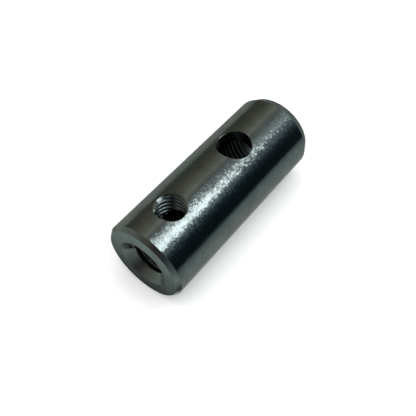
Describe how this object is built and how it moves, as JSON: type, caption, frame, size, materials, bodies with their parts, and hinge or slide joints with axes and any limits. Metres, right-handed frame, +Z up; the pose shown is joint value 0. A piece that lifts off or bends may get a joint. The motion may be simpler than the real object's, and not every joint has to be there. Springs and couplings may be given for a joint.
{
  "type": "rigid sleeve coupling",
  "caption": "Round steel sleeve coupling that joins two threaded rods end to end, with a tapped cross hole, a plain cross hole and a set screw.",
  "frame": {"origin": "on the barrel's axis, half way along its length", "axes": "+X along the barrel's axis towards the large thread; +Z up, through the two cross holes"},
  "size_m": [0.04, 0.016, 0.016],
  "materials": {
    "zinc_plated_steel": "bright zinc plate over a turned surface, faintly granular",
    "black_oxide_steel": "black oxide, lightly oiled"
  },
  "bodies": {
    "sleeve": {"sleeve": "zinc_plated_steel"},
    "set_screw": {"set_screw": "black_oxide_steel"}
  },
  "joints": [
    {"name": "set_screw_travel", "type": "slide", "parent": "sleeve", "child": "set_screw", "axis": [0, 0, 1], "range_m": [-0.001, 0.003]}
  ]
}
